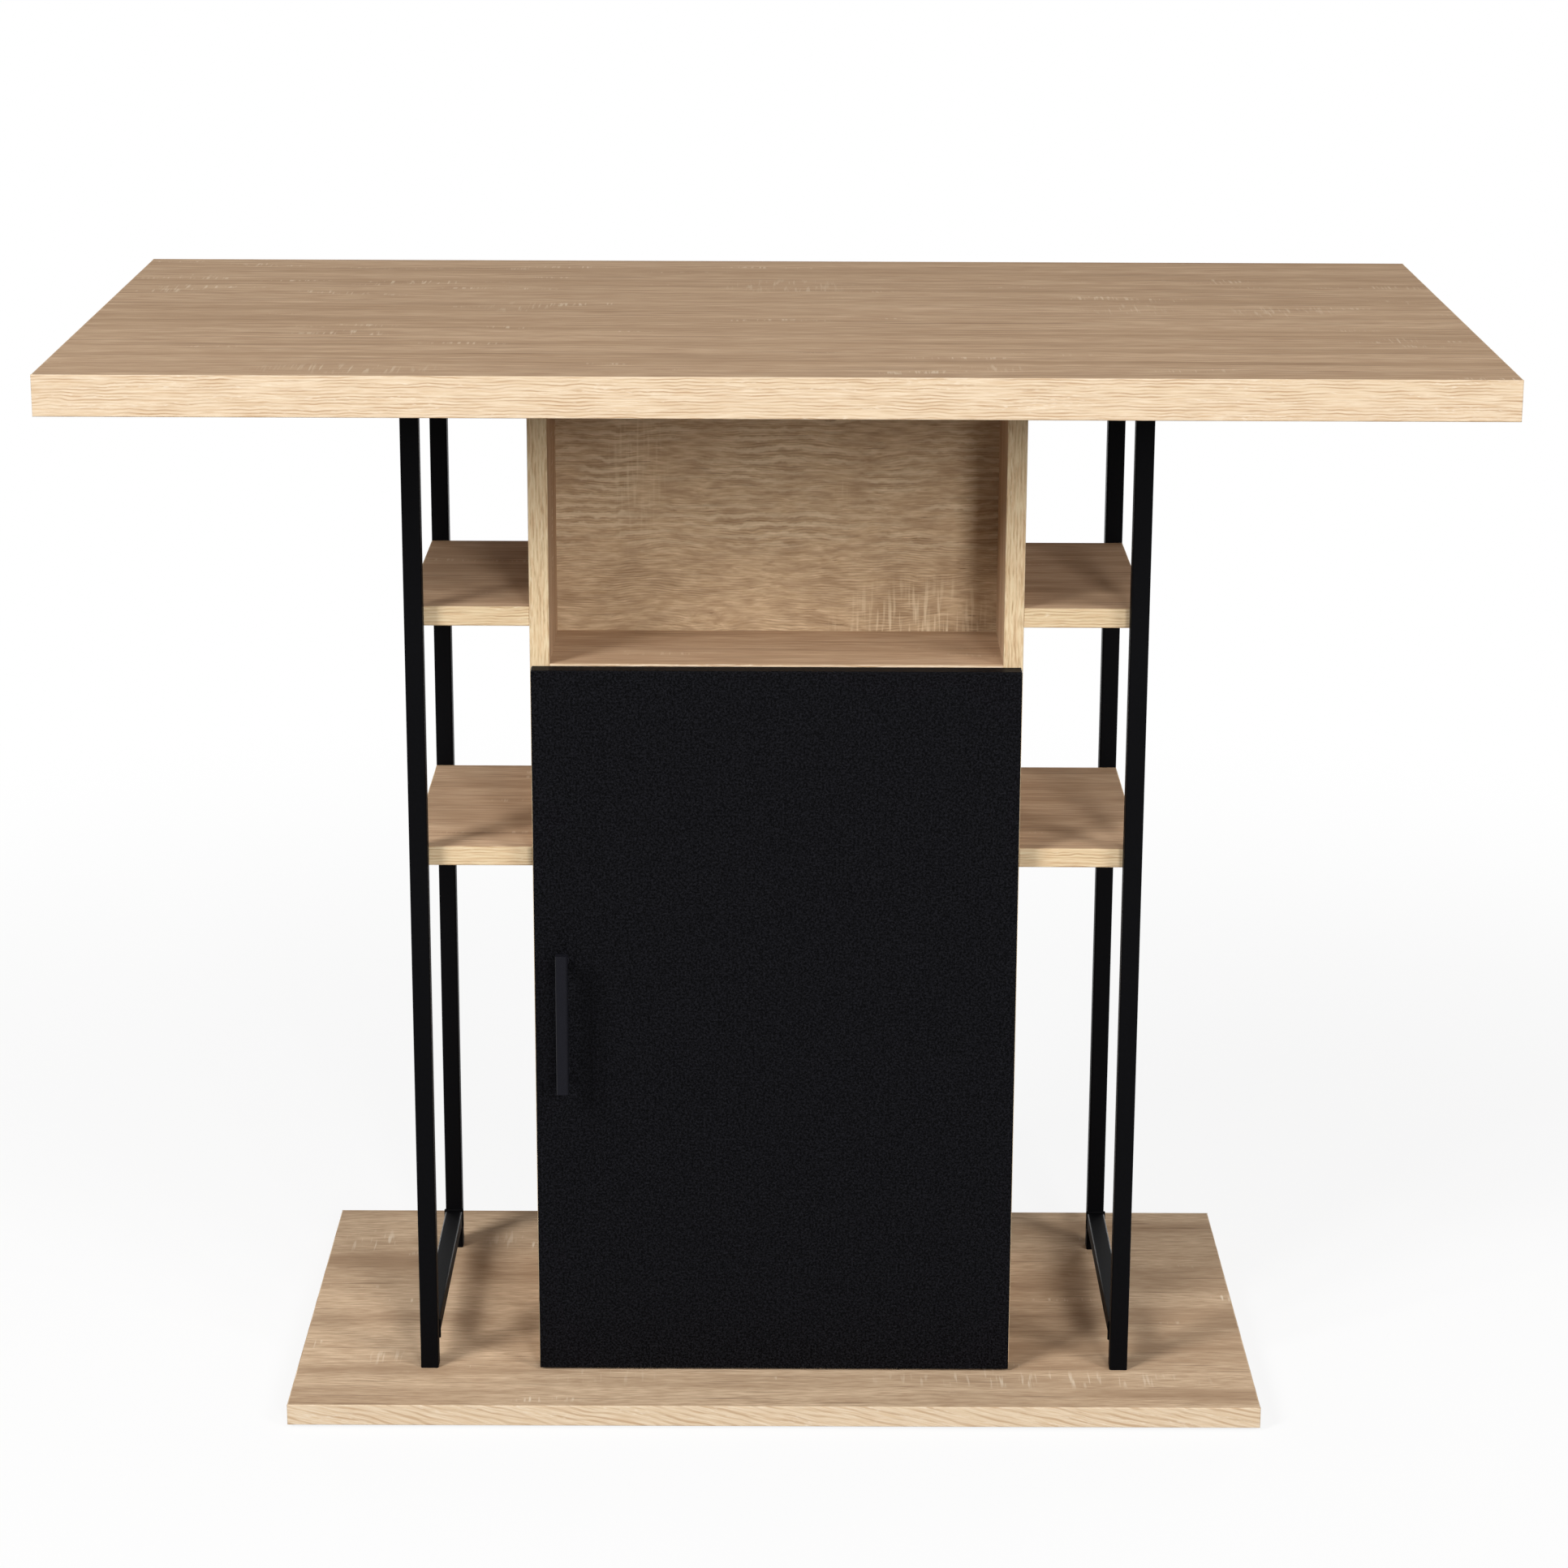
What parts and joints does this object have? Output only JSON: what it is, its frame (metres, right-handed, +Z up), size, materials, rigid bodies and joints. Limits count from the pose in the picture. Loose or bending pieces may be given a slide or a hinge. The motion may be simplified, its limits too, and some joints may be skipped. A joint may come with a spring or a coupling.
{
  "type": "kitchen island",
  "caption": "Kitchen island with an overhanging oak-effect worktop on a narrow cabinet with an open niche and a black hinged door, side shelves in black square-tube frames and a base plate.",
  "frame": {"origin": "on the floor under the middle of the base plate and of the worktop", "axes": "+X along the worktop to the door's hinge side, -Y the door's front, +Z up"},
  "size_m": [1.12, 0.6, 0.9],
  "materials": {
    "oak_board": "oak-print melamine, fine embossed grain, satin",
    "oak_band": "oak-print edge band, satin",
    "black_board": "black melamine with a fine pearl texture, matt",
    "black_band": "black edge band, matt",
    "black_steel": "black powder coat, matt",
    "plated_steel": "nickel-plated pressed steel",
    "beech": "fluted raw beech",
    "clear_bumper": "soft clear elastomer",
    "glide_plastic": "dark moulded plastic"
  },
  "bodies": {
    "island": {"base_bolts": "plated_steel", "base_edge_bands": "oak_band", "base_glides": "glide_plastic", "base_plate": "oak_board", "cabinet_screws": "plated_steel", "cabinet_side_bands": "oak_band", "cabinet_side_left": "oak_board", "cabinet_side_right": "oak_board", "cabinet_top": "oak_board", "dowels": "beech", "hinge_arm_screws": "plated_steel", "hinge_plate_screws": "plated_steel", "inner_shelf": "oak_board", "inner_shelf_band": "oak_band", "left_bottom_rail": "black_steel", "left_front_leg": "black_steel", "left_lower_shelf": "oak_board", "left_rear_leg": "black_steel", "left_top_rail": "black_steel", "left_upper_shelf": "oak_board", "leg_foot_plates": "plated_steel", "lower_hinge_arm": "plated_steel", "lower_hinge_arm_pin": "plated_steel", "lower_hinge_plate": "plated_steel", "niche_floor": "oak_board", "niche_floor_bands": "oak_band", "niche_partition": "oak_board", "rear_panel": "black_board", "right_bottom_rail": "black_steel", "right_front_leg": "black_steel", "right_lower_shelf": "oak_board", "right_rear_leg": "black_steel", "right_top_rail": "black_steel", "right_upper_shelf": "oak_board", "shelf_pins": "plated_steel", "shelf_screws": "plated_steel", "shelf_tabs": "black_steel", "side_shelf_bands": "oak_band", "upper_hinge_arm": "plated_steel", "upper_hinge_arm_pin": "plated_steel", "upper_hinge_plate": "plated_steel", "worktop": "oak_board", "worktop_edge_bands": "oak_band", "worktop_screws": "plated_steel"},
    "hinge_links": {"lower_hinge_link": "plated_steel", "upper_hinge_link": "plated_steel"},
    "door_leaf": {"door": "black_board", "door_edge_bands": "black_band", "door_bumpers": "clear_bumper", "handle_bar": "black_steel", "handle_posts": "black_steel", "handle_screws": "plated_steel", "hinge_cup_screws": "plated_steel", "lower_hinge_cup": "plated_steel", "upper_hinge_cup": "plated_steel", "lower_hinge_cup_pin": "plated_steel", "upper_hinge_cup_pin": "plated_steel"}
  },
  "joints": [
    {"name": "link_swing", "type": "hinge", "parent": "island", "child": "hinge_links", "pos_m": [0.1678, -0.1268, 0.328], "axis": [0, 0, 1], "range_deg": [-30, 0]},
    {"name": "door_swing", "type": "hinge", "parent": "hinge_links", "child": "door_leaf", "pos_m": [0.1886, -0.13, 0.328], "axis": [0, 0, 1], "range_deg": [0, 125]}
  ],
  "couplings": [
    {"joint": "link_swing", "follows": "door_swing", "ratio": -0.24}
  ]
}
